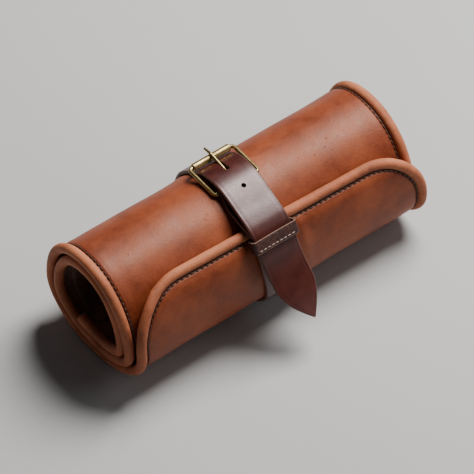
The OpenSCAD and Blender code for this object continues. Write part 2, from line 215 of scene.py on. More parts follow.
def border(inset, step):
    """Rows of s, x along the sheet's piped border, from one inner corner round the flap to the other."""
    r = CORNER_RADIUS - inset
    side = ROLL_LENGTH / 2 - inset
    centre = ROLL_LENGTH / 2 - CORNER_RADIUS
    run = np.arange(CORNER_RADIUS, SHEET_LENGTH - 1, step)
    turn = np.linspace(math.pi / 2, 0, max(6, int(r * math.pi / 2 / step)))
    middle = np.linspace(-centre, centre, int(2 * centre / step))[1:-1]
    left = np.stack([run[:0:-1], np.full(len(run) - 1, -side)], 1)
    corner = np.stack([CORNER_RADIUS - r * np.cos(turn), centre + r * np.sin(turn)], 1)
    near = np.stack([np.full(len(middle), float(inset)), middle], 1)
    return np.concatenate([left, corner * [1, -1], near, corner[::-1], left[::-1] * [1, -1]])


# ---------------------------------------------------------------------------------------------
# Mesh building
# ---------------------------------------------------------------------------------------------


def new_object(name, verts, faces, material, body, replaces):
    """A mesh object from points in millimetres, riding on a CAD body."""
    mesh = bpy.data.meshes.new(name)
    mesh.from_pydata([tuple(v) for v in np.asarray(verts) * MM], [], faces)
    mesh.validate()
    mesh.update()
    mesh.materials.append(material)
    mesh.polygons.foreach_set("use_smooth", [True] * len(mesh.polygons))
    obj = bpy.data.objects.new(name, mesh)
    bpy.context.scene.collection.objects.link(obj)
    if body:
        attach(obj, body)
    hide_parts(*replaces)
    return obj


def tube_faces(rings, count, looped=False):
    """Faces over rings of count points each, closed at both ends or joined into a loop."""
    faces = []
    last = rings if looped else rings - 1
    for i in range(last):
        a, b = i * count, ((i + 1) % rings) * count
        for j in range(count):
            k = (j + 1) % count
            faces.append((a + j, a + k, b + k, b + j))
    if not looped:
        faces.append(tuple(range(count - 1, -1, -1)))
        faces.append(tuple((rings - 1) * count + j for j in range(count)))
    return faces


def add_value(obj, name, values):
    """Store one number per vertex for a material to read."""
    attribute = obj.data.attributes.new(name, "FLOAT", "POINT")
    attribute.data.foreach_set("value", np.asarray(values, np.float32))


def ripple(points, size, seed):
    """Smooth noise between -1 and 1 at each point, with features of about the given size."""
    offset = Vector((seed * 17.3, seed * 5.1, seed * 9.7))
    return np.array([noise.noise(Vector(p) / size + offset) for p in points])


def edge_distance(s, x):
    """Distance from the centre of the sheet's piping, for arrays of s and x."""
    side = ROLL_LENGTH / 2 - np.abs(x)
    past = np.abs(x) - (ROLL_LENGTH / 2 - CORNER_RADIUS)
    corner = CORNER_RADIUS - np.hypot(np.maximum(CORNER_RADIUS - s, 0), np.maximum(past, 0))
    return np.where((s < CORNER_RADIUS) & (past > 0), corner, np.minimum(side, s))


def seamed(s, x, h):
    """Height with the groove beside the piping, the pull of the stitches and the leather's own swell."""
    d = edge_distance(s, x)
    groove = -0.85 * np.exp(-(((d - 4.1) / 1.3) ** 2))
    pull = -0.42 * np.exp(-(((d - STITCH_INSET) / 0.9) ** 2))
    pillow = 0.16 * np.exp(-(((d - 10.5) / 2.2) ** 2))
    return h + groove + pull + pillow


# Distances from the sheet's own edge at which its mesh has a row or column, close together near the seam.
EDGE_COLUMNS = [0, 1.0, 1.6, 2.2, 2.8, 3.3, 3.8, 4.2, 4.6, 5.0, 5.6, 6.4, 7.5, 9.0, 11.0, 13.5]


def sheet_rows():
    near = [SHEET_INSET + d for d in EDGE_COLUMNS]
    seen, hidden = np.arange(18, 400, 2.0), np.arange(400, SHEET_LENGTH - 3, 4.0)
    return np.concatenate([near, seen, hidden, [SHEET_LENGTH]])


def sheet_columns(w):
    """Places across the sheet at half width w, close together near its edges."""
    edge = np.array(EDGE_COLUMNS)
    inner = np.linspace(-(w - 13.5), w - 13.5, 108)[1:-1]
    return np.concatenate([-w + edge, inner, w - edge[::-1]])


def sheet_grid():
    rows = sheet_rows()
    x = np.stack([sheet_columns(float(half_width(s, SHEET_INSET))) for s in rows])
    return np.repeat(rows[:, None], x.shape[1], 1), x


def slab(top, bottom):
    """Verts and faces of a closed slab between two grids of points."""
    rows, cols = top.shape[:2]
    verts = np.concatenate([top.reshape(-1, 3), bottom.reshape(-1, 3)])
    under = rows * cols
    faces = []
    for i in range(rows - 1):
        for j in range(cols - 1):
            a = i * cols + j
            faces.append((a, a + 1, a + cols + 1, a + cols))
            faces.append((under + a, under + a + cols, under + a + cols + 1, under + a + 1))
    rim = list(range(cols)) + [i * cols + cols - 1 for i in range(1, rows)]
    rim += [(rows - 1) * cols + j for j in range(cols - 2, -1, -1)]
    rim += [i * cols for i in range(rows - 2, 0, -1)]
    for a, b in zip(rim, rim[1:] + rim[:1]):
        faces.append((a, under + a, under + b, b))
    return verts, faces


# How far the strap's middle line lies to one side, by strap angle.
STRAP_SIDES = np.array([
    [97, -0.8], [104, -1.8], [112, -3], [124, -3], [135, -1.4], [150, -0.9],
    [180, 2.5], [205, 3.2], [240, 0], [400, 0],
    [457, -0.5], [480, -1.3], [495, -1.6], [512, -0.6],
])


def strap_side(u):
    return np.interp(u, STRAP_SIDES[:, 0], STRAP_SIDES[:, 1])


def panel_swell(s, x):
    """Leather pushed up a little on both sides of the strap, on the outer turn."""
    t = np.interp(s, TABLE_S, TABLE_ANGLE)
    outer = smooth((t - FLAP_ANGLE + 5) / 10) * (1 - smooth((t - 480) / 15))
    gap = np.abs(x - strap_side(t)) - STRAP_WIDTH / 2
    return outer * 0.45 * np.exp(-(((gap - 4) / 3.2) ** 2))


def build_sheet(outer_leather, lining_leather):
    s, x = sheet_grid()
    flat = sheet_points(s, x, np.zeros_like(s)).reshape(-1, 3)
    calm = smooth((edge_distance(s, x) - 7) / 16)
    broad = ripple(flat, 42.0, 1).reshape(s.shape) * 0.75 + ripple(flat, 17.0, 2).reshape(s.shape) * 0.28
    t = np.interp(s, TABLE_S, TABLE_ANGLE)
    under_strap = 1 - smooth((np.abs(x - strap_side(t)) - 12) / 8)
    swell = np.clip(broad, -0.6, 0.75) * calm * (1 - 0.9 * under_strap) + panel_swell(s, x)
    top = sheet_points(s, x, seamed(s, x, PANEL_OUT) + swell)
    middle = sheet_points(s, x, LINING_TOP + 0.25 * swell)
    verts, faces = slab(top, middle)
    panel = new_object("panel_leather", verts, faces, outer_leather, "roll", ["outer_panel"])
    # Painted shade: a mask along the groove beside the piping, which the panel material reads to darken the
    # leather as if shade lay in the groove.
    groove_painted_shade = np.exp(-(((edge_distance(s, x) - 4.6) / 1.5) ** 2)).reshape(-1)
    add_value(panel, "groove_shade", np.concatenate([groove_painted_shade, groove_painted_shade]))
    inner = sheet_points(s, x, LINING_IN - 0.35 * (seamed(s, x, 0.0)))
    verts, faces = slab(middle, inner)
    new_object("lining_leather", verts, faces, lining_leather, "roll", ["lining_panel"])


# ---------------------------------------------------------------------------------------------
# Sweeps, seams and threads
# ---------------------------------------------------------------------------------------------


def path_frames(points, hints):
    """Tangent, side and up of a row of points. Up stays as near to the hints as it can."""
    tangent = np.gradient(points, axis=0)
    tangent /= np.linalg.norm(tangent, axis=1)[:, None]
    up = hints - tangent * (hints * tangent).sum(1)[:, None]
    up /= np.linalg.norm(up, axis=1)[:, None]
    return tangent, np.cross(tangent, up), up


def swept(points, hints, profile):
    """Rings of a profile carried along a row of points. The profile is (M, 2), or (N, M, 2)."""
    _, side, up = path_frames(points, hints)
    profile = np.broadcast_to(profile, (len(points),) + np.asarray(profile).shape[-2:])
    return points[:, None] + side[:, None] * profile[..., :1] + up[:, None] * profile[..., 1:]


def circle(radius, count):
    a = np.linspace(0, 2 * math.pi, count, endpoint=False)
    return np.stack([radius * np.cos(a), radius * np.sin(a)], 1)


def sheet_normals(s):
    n = on_table(TABLE_NORMAL, np.asarray(s, float))
    return np.stack([np.zeros(len(n)), n[:, 0], n[:, 1]], 1)


def build_piping(material):
    path = border(0, 1.6)
    centre = soften(sheet_points(path[:, 0], path[:, 1], np.full(len(path), PIPING_LIFT)), 1.5)
    hints = sheet_normals(path[:, 0])
    count = 24
    rings = swept(centre, hints, circle(1.0, count))
    lumps = ripple(rings.reshape(-1, 3), 14.0, 4).reshape(rings.shape[:2])
    small = ripple(rings.reshape(-1, 3), 4.0, 5).reshape(rings.shape[:2])
    radius = PIPING_RADIUS - 0.05 + 0.16 * lumps + 0.07 * small
    rings = centre[:, None] + (rings - centre[:, None]) * radius[..., None]
    for end in (0, -1):
        rings[end] = centre[end] + (rings[end] - centre[end]) * 0.9
    verts = rings.reshape(-1, 3)
    faces = tube_faces(len(rings), count)
    covers = ["edge_piping", "piping_cord"]
    new_object("piping_roll", verts, faces, material, "roll", covers)


def stitches(points, normals, length, gap, radius, sink):
    """Verts and faces of single stitches along a row of points, each sunk into the leather at its ends."""
    run = np.concatenate([[0], np.cumsum(np.linalg.norm(np.diff(points, axis=0), axis=1))])
    shares = np.array([0, 0.1, 0.3, 0.5, 0.7, 0.9, 1])
    heights = -sink * np.array([1, 0.42, 0.06, 0, 0.06, 0.42, 1])
    radii = radius * np.array([0.6, 0.95, 1, 1, 1, 0.95, 0.6])
    verts, faces = [], []
    for k in range(int((run[-1] + gap) / (length + gap))):
        at = k * (length + gap) + shares * length * RNG.uniform(0.94, 1.02)
        centre = np.stack([np.interp(at, run, points[:, i]) for i in range(3)], 1)
        normal = np.stack([np.interp(at, run, normals[:, i]) for i in range(3)], 1)
        _, side, up = path_frames(centre, normal)
        skew = (shares - 0.5)[:, None] * side * RNG.uniform(-0.22, 0.22)
        centre = centre + up * heights[:, None] + skew
        start = len(verts)
        ring = circle(1.0, 8)
        for c, sd, u, r in zip(centre, side, up, radii):
            verts.extend(c + sd * (q[0] * r) + u * (q[1] * r) for q in ring)
        faces.extend(tuple(start + v for v in f) for f in tube_faces(len(shares), 8))
    return verts, faces


def merged(parts):
    verts, faces = [], []
    for v, f in parts:
        faces.extend(tuple(len(verts) + i for i in face) for face in f)
        verts.extend(v)
    return verts, faces


def sheet_seam(path, h, length, gap, radius, sink, inward=False):
    points = sheet_points(path[:, 0], path[:, 1], np.full(len(path), float(h)))
    normals = sheet_normals(path[:, 0]) * (-1 if inward else 1)
    return stitches(points, normals, length, gap, radius, sink)


def build_edge_seam(thread):
    path = border(STITCH_INSET, 1.5)
    outside = sheet_seam(path, PANEL_OUT + 0.02, 3.3, 1.0, 0.42, 0.75)
    inside = sheet_seam(path, LINING_IN - 0.1, 3.3, 1.0, 0.38, 0.6, inward=True)
    verts, faces = merged([outside, inside])
    new_object("edge_thread", verts, faces, thread, "roll", ["edge_stitching"])


POCKET_START = 88.75
POCKET_END = 608.75
POCKET_FOOT = -ROLL_LENGTH / 2 + 10
POCKET_MOUTH = 18.0
COVER_FOLD = POCKET_MOUTH + 10
COVER_EDGE = ROLL_LENGTH / 2 - 10
POCKET_COUNT = 16
POCKET_SPACING = (POCKET_END - POCKET_START - 10) / POCKET_COUNT


def build_inside(leather, thread):
    """Pockets, the cover over the brush tips and their seams, on the inside of the sheet."""
    s = np.arange(POCKET_START, POCKET_END + 0.1, 2.0)
    phase = (s - POCKET_START - 5) / POCKET_SPACING
    belly = np.abs(np.sin(np.pi * phase)) ** 0.7
    x = np.linspace(POCKET_FOOT, POCKET_MOUTH, 46)
    s_grid, x_grid = np.repeat(s[:, None], len(x), 1), np.repeat(x[None], len(s), 0)
    open_share = smooth((x_grid - POCKET_FOOT) / 30)
    bulge = 0.7 * belly[:, None] * open_share
    out = sheet_points(s_grid, x_grid, LINING_IN - 0.1 - 0.8 * bulge)
    face = sheet_points(s_grid, x_grid, LINING_IN - POCKET_THICK - bulge)
    verts, faces = slab(out, face)
    new_object("pocket_leather", verts, faces, leather, "roll", ["pocket_panel"])

    x = np.linspace(COVER_FOLD, COVER_EDGE, 30)
    s_grid, x_grid = np.repeat(s[:, None], len(x), 1), np.repeat(x[None], len(s), 0)
    sag = 0.35 * ripple(sheet_points(s_grid, x_grid, 0.0).reshape(-1, 3), 22.0, 9).reshape(s_grid.shape)
    out = sheet_points(s_grid, x_grid, LINING_IN - 0.1)
    face = sheet_points(s_grid, x_grid, LINING_IN - POCKET_THICK + np.minimum(sag, 0))
    verts, faces = slab(out, face)
    new_object("tip_cover_leather", verts, faces, leather, "roll", ["tip_cover"])

    seams = []
    for k in range(POCKET_COUNT + 1):
        at = POCKET_START + 5 + k * POCKET_SPACING
        path = np.stack([np.full(70, at), np.linspace(POCKET_FOOT + 3, POCKET_MOUTH - 2, 70)], 1)
        seams.append(sheet_seam(path, LINING_IN - POCKET_THICK - 0.1, 3.2, 1.0, 0.36, 0.5, inward=True))
    verts, faces = merged(seams)
    new_object("pocket_thread", verts, faces, thread, "roll", ["pocket_seams"])

    run = np.arange(POCKET_START + 2, POCKET_END - 2, 1.5)
    path = np.stack([run, np.full(len(run), COVER_EDGE - 4)], 1)
    verts, faces = sheet_seam(path, LINING_IN - POCKET_THICK - 0.1, 3.2, 1.0, 0.36, 0.5, inward=True)
    new_object("tip_cover_thread", verts, faces, thread, "roll", ["tip_cover_seam"])

    side = ROLL_LENGTH / 2 - 12
    path = np.stack([np.full(160, SHEET_LENGTH - 5.0), np.linspace(-side, side, 160)], 1)
    verts, faces = sheet_seam(path, LINING_IN - 0.1, 3.3, 1.0, 0.4, 0.6, inward=True)
    new_object("inner_end_thread", verts, faces, thread, "roll", ["inner_end_stitching"])


# ---------------------------------------------------------------------------------------------
# Strap
# ---------------------------------------------------------------------------------------------

# Heights of the strap's two layers over the surface beneath them, by strap angle.
ON_PANEL = PANEL_OUT + 0.3 + STRAP_THICK / 2
LOWER_HEIGHTS = np.array([
    [97, 7.7], [104, 5.9], [110, 4.8], [118, 4.5], [126, 4.4], [131, 5.4], [135, 6], [142, 5.95],
    [152, 5.9], [157, 4.7], [163, 3.6], [169, ON_PANEL],
    [378, ON_PANEL], [396, ON_PANEL + 0.6], [410, ON_PANEL + 2],
])
UPPER_HEIGHTS = np.array([
    [457, 10.2], [464, 10], [470, 10.4], [474, 9.9], [478, 9.1], [486, 8.1], [491, 8.6],
    [495, 9.1], [498, 9.1], [502, 9], [512, 9],
])


def outward(t):
    """Unit normal of the sheet's middle surface in Y and Z, away from the roll's middle."""
    d = section(t + 0.5) - section(t - 0.5)
    d /= np.linalg.norm(d, axis=-1)[..., None]
    return np.stack([d[..., 1], -d[..., 0]], -1)


def bridge(u):
    """Height that the flap's edge lifts the strap by, above the turn beneath."""
    return 9.26 * smooth((u - 108) / 27)


def strap_place(u, h):
    """Place in Y and Z at a strap angle, at a height over the surface beneath the strap."""
    u = np.atleast_1d(np.asarray(u, float))
    t = np.where(u < FLAP_ANGLE, u + 360, np.where(u > FLAP_ANGLE + 360, u - 360, u))
    wrapped = np.where(u > FLAP_ANGLE, u - 360, u)
    rise = np.where((wrapped > 0) & (wrapped <= FLAP_ANGLE), bridge(wrapped), 0)
    return section(t) + outward(t) * (np.asarray(h) + rise)[..., None]


def bezier(p0, p1, p2, p3, v):
    v = np.asarray(v)[:, None]
    return p0 * (1 - v) ** 3 + 3 * p1 * v * (1 - v) ** 2 + 3 * p2 * v * v * (1 - v) + p3 * v**3


def strap_rows(angles, heights):
    place = strap_place(angles, np.interp(angles, heights[:, 0], heights[:, 1]))
    thick = np.interp(angles, [100, 114], [1.6, STRAP_THICK])
    return np.column_stack([place, strap_side(angles), thick])


def strap_path():
    """Rows of Y, Z, middle in X and thickness: the fold, the lower layer, then the upper layer."""
    back = np.arange(118, 101, -1.0)
    folded = strap_place(back, PANEL_OUT + 0.3 + 0.6) - outward(back + 360) * bridge(back)[:, None]
    fold = np.column_stack([folded, strap_side(back), np.full(len(back), 1.2)])
    turn = np.radians(np.linspace(-78, 90, 16))
    arc = HEEL_BAR + 2.5 * np.stack([np.cos(turn), np.sin(turn)], 1)
    arc = np.column_stack([arc, np.full(len(arc), -0.8), np.full(len(arc), 1.4)])

    lower = strap_rows(np.arange(99.5, 250, 1.0), LOWER_HEIGHTS)
    flat = np.linspace(-12.5, 12.5, 18)
    base = np.column_stack([flat, np.full(18, STRAP_THICK / 2), np.zeros(18), np.full(18, STRAP_THICK)])
    behind = strap_rows(np.arange(291, 391.5, 1.0), LOWER_HEIGHTS)
    slope = np.array([-3.4, 3.8])
    normal = np.array([-slope[1], slope[0]]) / np.linalg.norm(slope)
    dip = ROLLER_BAR + normal * (ROLLER_RADIUS + 0.45 + STRAP_THICK / 2)
    approach = strap_place(392, ON_PANEL + 0.4)[0]
    hump = strap_place(457, 10.2)[0]
    climb = bezier(approach, approach + [-2, 9], dip + [5.5, -4.2], dip, np.arange(0.05, 0.99, 0.06))
    over = bezier(dip, dip + 1.9 * slope, hump + [13, 0.9], hump, np.arange(0, 0.98, 0.05))
    bent = np.concatenate([climb, over])
    side = np.concatenate([np.zeros(len(climb)), np.linspace(0, -0.5, len(over))])
    bent = np.column_stack([bent, side, np.full(len(bent), STRAP_THICK)])
    upper = strap_rows(np.arange(457.5, 512.1, 1.0), UPPER_HEIGHTS)

    wrap = soften(resample(np.concatenate([lower, base, behind, bent, upper]), STRAP_STEP), 3.0)
    fold = soften(resample(np.concatenate([fold, arc, wrap[:2]]), FOLD_STEP), 1.2)
    return np.concatenate([fold[:-2], wrap])


# The strap's edge: distances in from the cut side, and the share of the half thickness there.
EDGE_OFFSETS = np.array([0, 0.12, 0.45, 0.95, 1.5, 2.1, 2.8])
EDGE_HEIGHTS = np.array([0.34, 0.66, 0.9, 0.985, 1.0, 0.93, 1.0])


def strap_profiles(half, thick):
    """Cross-sections of the strap: rounded edges, with a creased line just inside each edge."""
    half = np.asarray(half, float)[:, None]
    thick = np.asarray(thick, float)[:, None]
    offsets = np.minimum(1, half / 3.2) * EDGE_OFFSETS[None]
    inner = np.linspace(-1, 1, 13)[1:-1][None] * np.maximum(half - 2.8, half * 0.1)
    x = np.concatenate([-half + offsets, inner, half - offsets[:, ::-1]], 1)
    edge = np.repeat(EDGE_HEIGHTS[None], len(half), 0)
    plain = np.ones((len(half), inner.shape[1]))
    rise = np.concatenate([edge, plain, edge[:, ::-1]], 1) * thick / 2
    under = np.maximum(rise, thick / 2 * np.minimum(1, rise / (thick / 2) + 0.08))
    upper = np.stack([x, rise], -1)
    lower = np.stack([x, -under], -1)[:, ::-1]
    return np.concatenate([upper, lower], 1)


def band(name, rows, half, material, body, replaced):
    """Strap along rows of Y, Z, X and thickness. Its edge attribute is 1 at the cut sides."""
    points = np.stack([rows[:, 2], rows[:, 0], rows[:, 1]], 1)
    d = np.gradient(points[:, 1:], axis=0)
    d /= np.linalg.norm(d, axis=1)[:, None]
    up = np.stack([np.zeros(len(d)), d[:, 1], -d[:, 0]], 1)
    across = np.broadcast_to([1.0, 0, 0], points.shape)
    profile = strap_profiles(half, rows[:, 3])
    rings = points[:, None] + across[:, None] * profile[..., :1] + up[:, None] * profile[..., 1:]
    waves = ripple(rings.reshape(-1, 3), 30.0, 11).reshape(rings.shape[:2]) * 0.12
    rings = rings + up[:, None] * waves[..., None]
    count = rings.shape[1]
    verts, faces = rings.reshape(-1, 3), tube_faces(len(rings), count)
    obj = new_object(name, verts, faces, material, body, replaced)
    gap = np.asarray(half, float)[:, None] - np.abs(profile[..., 0])
    side = 1 - np.clip(gap / 1.1, 0, 1)
    side = np.maximum(side, np.where(np.abs(profile[..., 1]) < 0.36 * rows[:, 3:], 1, 0))
    add_value(obj, "edge", side.reshape(-1))
    return obj


def cutter(y_run, width, low, high, centre):
    """A long round-ended punch, as the CAD's slots are, in millimetres."""
    mesh = bmesh.new()
    a = np.linspace(-math.pi / 2, math.pi / 2, 17)
    outline = [(width / 2 * math.sin(v), y_run[1] + width / 2 * math.cos(v)) for v in a]
    outline += [(-width / 2 * math.sin(v), y_run[0] - width / 2 * math.cos(v)) for v in a]
    middle = Vector(centre)
    rings = [[mesh.verts.new((middle + Vector((x, y, z))) * MM) for x, y in outline] for z in (low, high)]
    for i in range(len(outline)):
        j = (i + 1) % len(outline)
        mesh.faces.new((rings[0][i], rings[0][j], rings[1][j], rings[1][i]))
    mesh.faces.new(rings[0][::-1])
    mesh.faces.new(rings[1])
    bmesh.ops.recalc_face_normals(mesh, faces=mesh.faces)
    data = bpy.data.meshes.new("punch")
    mesh.to_mesh(data)
    mesh.free()
    obj = bpy.data.objects.new("punch", data)
    bpy.context.scene.collection.objects.link(obj)
    return obj


def punch(obj, cutters):
    for tool in cutters:
        modifier = obj.modifiers.new("hole", "BOOLEAN")
        modifier.object = tool
        modifier.operation = "DIFFERENCE"
        modifier.solver = "EXACT"
    bpy.context.view_layer.update()
    graph = bpy.context.evaluated_depsgraph_get()
    cut = obj.evaluated_get(graph)
    result = bpy.data.meshes.new_from_object(cut, preserve_all_data_layers=True, depsgraph=graph)
    obj.modifiers.clear()
    result.set_sharp_from_angle(angle=math.radians(35))
    obj.data = result
    for tool in cutters:
        bpy.data.objects.remove(tool)


def point_width(d):
    """Half of the free end's width at a distance from its tip."""
    return STRAP_WIDTH / 2 * (1 - (1 - np.clip(d / POINT_LENGTH, 0, 1)) ** 1.7)


def build_strap(material, thread):
    rows = strap_path()
    pivot = strap_place(512, 9)[0]
    start = section(CUT_ANGLE + 0.5) - section(CUT_ANGLE - 0.5)
    start /= np.linalg.norm(start)
    first = pivot + start * 0.15
    second = first + start * FREE_LENGTH * 0.35
    v = np.concatenate([np.linspace(0.005, 0.9, 60), np.linspace(0.905, 0.997, 24)])
    third = first + FREE_LENGTH * np.array([-0.36, -0.58])
    point = first + FREE_LENGTH * np.array([-0.62, -0.77])
    curve = bezier(first, second, third, point, v)
    free = np.column_stack([curve, -0.6 + 5.1 * v, np.full(len(v), STRAP_THICK)])

    keeper = section(KEEPER_ANGLE)
    reach = np.linalg.norm(rows[:, :2] - (keeper + outward(np.array(float(KEEPER_ANGLE))) * 9.0), axis=1)
    tail = len(rows) - 40
    split = tail + int(np.argmin(reach[tail:]))
    wrap_rows = rows[: split + 1]
    whole = np.full(len(wrap_rows), STRAP_WIDTH / 2)
    wrap = band("strap_wrap", wrap_rows, whole, material, "roll", ["strap"])

    heel = (0, HEEL_BAR[0], HEEL_BAR[1])
    height = np.interp(SPARE_HOLE_ANGLE, UPPER_HEIGHTS[:, 0], UPPER_HEIGHTS[:, 1])
    spare = strap_place(SPARE_HOLE_ANGLE, height)[0]
    punch(wrap, [
        cutter(HEEL_SLOT, HEEL_SLOT_WIDTH, -4, 2.9, heel),
        cutter(PRONG_SLOT, HOLE_DIAMETER, -4, 8, heel),
        cutter((0, 0.01), HOLE_DIAMETER, -1.45, 3.5, (0, spare[0], spare[1])),
    ])

    tail_rows = np.concatenate([rows[split + 1 :], free])
    straight = np.full(len(rows) - split - 1, STRAP_WIDTH / 2)
    half = np.concatenate([straight, point_width((1 - v) * FREE_LENGTH)])
    end = band("strap_tail", tail_rows, half, material, None, ["strap_free_end"])
    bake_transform(end)

    seam_place = strap_place(FOLD_SEAM_ANGLE, 3.15)[0]
    x = np.linspace(-STRAP_WIDTH / 2 + 4, STRAP_WIDTH / 2 - 4, 60) + float(strap_side(FOLD_SEAM_ANGLE))
    points = np.column_stack([x, np.full(60, seam_place[0]), np.full(60, seam_place[1])])
    normal = outward(np.array([FOLD_SEAM_ANGLE + 360.0]))[0]
    hints = np.broadcast_to([0, normal[0], normal[1]], points.shape)
    verts, faces = stitches(points, hints, 3.0, 1.0, 0.33, 0.2)
    new_object("fold_thread", verts, faces, thread, "roll", ["fold_stitching"])

    seams = []
    for u in ANCHOR_ANGLES:
        for offset in (PANEL_OUT + 0.1, PANEL_OUT + 0.3 + STRAP_THICK + 0.05):
            place = strap_place(u, offset)[0]
            points = np.column_stack([np.linspace(-13, 13, 60), np.full(60, place[0]), np.full(60, place[1])])
            normal = outward(np.array([float(u)]))[0]
            hints = np.broadcast_to([0, normal[0], normal[1]], points.shape)
            seams.append(stitches(points, hints, 3.0, 1.0, 0.4, 0.5))
    verts, faces = merged(seams)
    new_object("anchor_thread", verts, faces, thread, "roll", ["anchor_stitching"])


# ---------------------------------------------------------------------------------------------
# Keeper and buckle
# ---------------------------------------------------------------------------------------------


def turned(local, origin, along):
    """Points from a local frame, whose Y lies along a direction in Y and Z, to the row frame."""
    local = np.asarray(local, float)
    y_axis = np.array([0, along[0], along[1]])
    z_axis = np.array([0, -along[1], along[0]])
    base = np.array([origin[0], origin[1], origin[2]], float)
    return base + local[..., :1] * [1, 0, 0] + local[..., 1:2] * y_axis + local[..., 2:] * z_axis


def rounded_loop(half_x, half_y, radius, steps):
    """Points round a rectangle with rounded corners, with its outward directions."""
    points, normals = [], []
    for cx, cy, start in ((1, 1, 0), (-1, 1, 90), (-1, -1, 180), (1, -1, 270)):
        for a in np.radians(np.linspace(start, start + 90, steps)):
            n = np.array([math.cos(a), math.sin(a)])
            points.append(np.array([cx * (half_x - radius), cy * (half_y - radius)]) + n * radius)
            normals.append(n)
    dense, dense_normals = [], []
    for i, (p, n) in enumerate(zip(points, normals)):
        q, m = points[(i + 1) % len(points)], normals[(i + 1) % len(points)]
        pieces = max(1, int(np.linalg.norm(q - p) / 1.2))
        for k in range(pieces):
            dense.append(p + (q - p) * k / pieces)
            dense_normals.append(n + (m - n) * k / pieces)
    return np.array(dense), np.array(dense_normals)


# The keeper's cross-section: places across its width, and the share of its half thickness there.
KEEPER_Y = [-5, -4.9, -4.6, -4.2, -3.95, -3.7, -3.3, -1.6, 0, 1.6, 3.3, 3.7, 3.95, 4.2, 4.6, 4.9, 5]
KEEPER_N = [0.3, 0.75, 1, 1, 0.7, 0.95, 1, 1.05, 1.08, 1.05, 1, 0.95, 0.7, 1, 1, 0.75, 0.3]


def build_keeper(material, thread):
    half_x = KEEPER_INNER / 2 + KEEPER_WALL / 2
    half_z = KEEPER_INNER_HEIGHT / 2 + KEEPER_WALL / 2
    loop, normals = rounded_loop(half_x, half_z, 1.2 + KEEPER_WALL / 2, 8)
    y = np.array(KEEPER_Y) * KEEPER_WIDTH / 10
    outer = np.array(KEEPER_N) * KEEPER_WALL / 2
    profile = list(zip(y, outer))
    profile += [(a, -min(b, KEEPER_WALL / 2)) for a, b in zip(y[::-1], outer[::-1])]
    rings = []
    centre_z = KEEPER_BASE + KEEPER_WALL + KEEPER_INNER_HEIGHT / 2
    for p, n in zip(loop, normals):
        rings.append([(p[0] + n[0] * b, a, centre_z + p[1] + n[1] * b) for a, b in profile])
    origin = (KEEPER_SIDE, *section(KEEPER_ANGLE))
    d = section(KEEPER_ANGLE + 0.5) - section(KEEPER_ANGLE - 0.5)
    along = -d / np.linalg.norm(d)
    local = np.array(rings)
    rough = ripple(local.reshape(-1, 3), 2.2, 21).reshape(local.shape[:2]) * 0.07
    wavy = ripple(local.reshape(-1, 3), 11.0, 22).reshape(local.shape[:2]) * 0.16
    local[..., 2] += rough
    local[..., 1] += wavy
    verts = turned(local, origin, along).reshape(-1, 3)
    faces = tube_faces(len(rings), len(profile), looped=True)
    obj = new_object("keeper_loop", verts, faces, material, "keeper", ["strap_keeper"])
    side = np.array([1.0 if abs(a) > 4.5 else 0.0 for a, _ in profile])
    add_value(obj, "edge", np.tile(side, len(rings)))

    count = 60
    x = np.linspace(-KEEPER_INNER / 2 + 1.5, KEEPER_INNER / 2 - 1.5, count)
    top = KEEPER_BASE + 2 * KEEPER_WALL + KEEPER_INNER_HEIGHT
    points = turned(np.column_stack([x, np.full(count, -2.9), np.full(count, top + 0.08)]), origin, along)
    hint = turned([[0, 0, 1]], (0, 0, 0), along)[0]
    verts, faces = stitches(points, np.broadcast_to(hint, points.shape), 2.6, 0.9, 0.3, 0.32)
    new_object("keeper_thread", verts, faces, thread, "keeper", ["keeper_stitching"])


BUCKLE_SPAN = ROLLER_BAR - HEEL_BAR
BUCKLE_LENGTH = float(np.linalg.norm(BUCKLE_SPAN))
BUCKLE_ALONG = BUCKLE_SPAN / BUCKLE_LENGTH
BUCKLE_ORIGIN = (0.0, HEEL_BAR[0], HEEL_BAR[1])


def lathe(profile, y, sides, notch=0.0):
    """Rings turned about a line across the buckle, y from its heel bar, from rows of x and radius."""
    rings = []
    for x, r in profile:
        ring = []
        for a in np.linspace(0, 2 * math.pi, sides, endpoint=False):
            cut = notch if abs(a - 4.0) < 0.05 else 0.0
            ring.append((x, y + (r - cut) * math.cos(a), (r - cut) * math.sin(a)))
        rings.append(ring)
    return np.array(rings)


